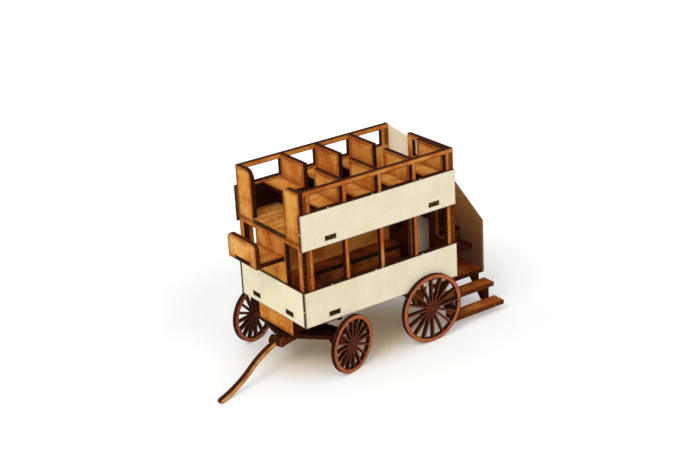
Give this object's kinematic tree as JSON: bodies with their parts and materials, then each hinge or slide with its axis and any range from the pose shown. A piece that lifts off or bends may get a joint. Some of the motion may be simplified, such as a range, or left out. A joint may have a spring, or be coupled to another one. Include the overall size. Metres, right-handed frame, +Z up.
{
  "type": "model horse-drawn omnibus",
  "caption": "Laser-cut MDF and card scale model of a double-deck horse omnibus, with turning spoked wheels, a steering front carriage, a hinged pole, rear stairs and seats on both decks.",
  "frame": {"origin": "on the ground, on the centre line, under the front ends of the side frames", "axes": "+X forward towards the pole, +Y to the vehicle's left, +Z up"},
  "size_m": [0.1505, 0.0642, 0.0876],
  "materials": {
    "mdf": "laser-cut MDF, matt, with dark scorched edges",
    "card": "cream card, matt, with brown cut edges",
    "dowel": "bare hardwood dowel"
  },
  "bodies": {
    "body": {"floor": "mdf", "side_frame_left": "mdf", "side_frame_right": "mdf", "lower_card_left": "card", "lower_card_right": "card", "upper_card_left": "card", "upper_card_right": "card", "front_bulkhead": "mdf", "front_card": "card", "wing_left": "mdf", "wing_right": "mdf", "footplate": "mdf", "footboard": "mdf", "deck": "mdf", "seat_backs": "mdf", "seat_boards": "mdf", "seat_risers": "mdf", "rear_panel": "mdf", "rear_bulkhead": "mdf", "bench_boards": "mdf", "bench_risers": "mdf", "platform": "mdf", "stair_guard": "card", "stair_side": "card", "stair_treads": "mdf", "stair_risers": "mdf", "entry_steps": "mdf", "step_stringers": "mdf", "rear_axle": "dowel", "axle_brackets": "mdf", "carrier_plate": "mdf", "carrier_hanger": "mdf"},
    "front_carriage": {"wishbone": "mdf", "turntable_disc": "mdf", "kingpin": "dowel", "front_axle": "dowel", "front_cheeks": "mdf", "pole_cheeks": "mdf", "pole_pin": "dowel"},
    "rear_wheel_left": {"rear_wheel_left": "mdf"},
    "rear_wheel_right": {"rear_wheel_right": "mdf"},
    "front_wheel_left": {"front_wheel_left": "mdf"},
    "front_wheel_right": {"front_wheel_right": "mdf"},
    "pole": {"pole": "mdf"}
  },
  "joints": [
    {"name": "rear_left_spin", "type": "hinge", "parent": "body", "child": "rear_wheel_left", "pos_m": [-0.0634, 0.0271, 0.0162], "axis": [0, 1, 0], "continuous": true},
    {"name": "rear_right_spin", "type": "hinge", "parent": "body", "child": "rear_wheel_right", "pos_m": [-0.0634, -0.0271, 0.0162], "axis": [0, 1, 0], "continuous": true},
    {"name": "steering", "type": "hinge", "parent": "body", "child": "front_carriage", "pos_m": [-0.011, 0, 0.018], "axis": [0, 0, 1], "range_deg": [-35.6, 4.4]},
    {"name": "front_left_spin", "type": "hinge", "parent": "front_carriage", "child": "front_wheel_left", "pos_m": [-0.01869, 0.02755, 0.0132], "axis": [-0.2689, 0.9632, 0], "continuous": true},
    {"name": "front_right_spin", "type": "hinge", "parent": "front_carriage", "child": "front_wheel_right", "pos_m": [-0.00331, -0.02755, 0.0132], "axis": [-0.2689, 0.9632, 0], "continuous": true},
    {"name": "pole_lift", "type": "hinge", "parent": "front_carriage", "child": "pole", "pos_m": [0.00489, 0.00444, 0.0138], "axis": [0.2689, -0.9632, 0], "range_deg": [0, 45]}
  ]
}
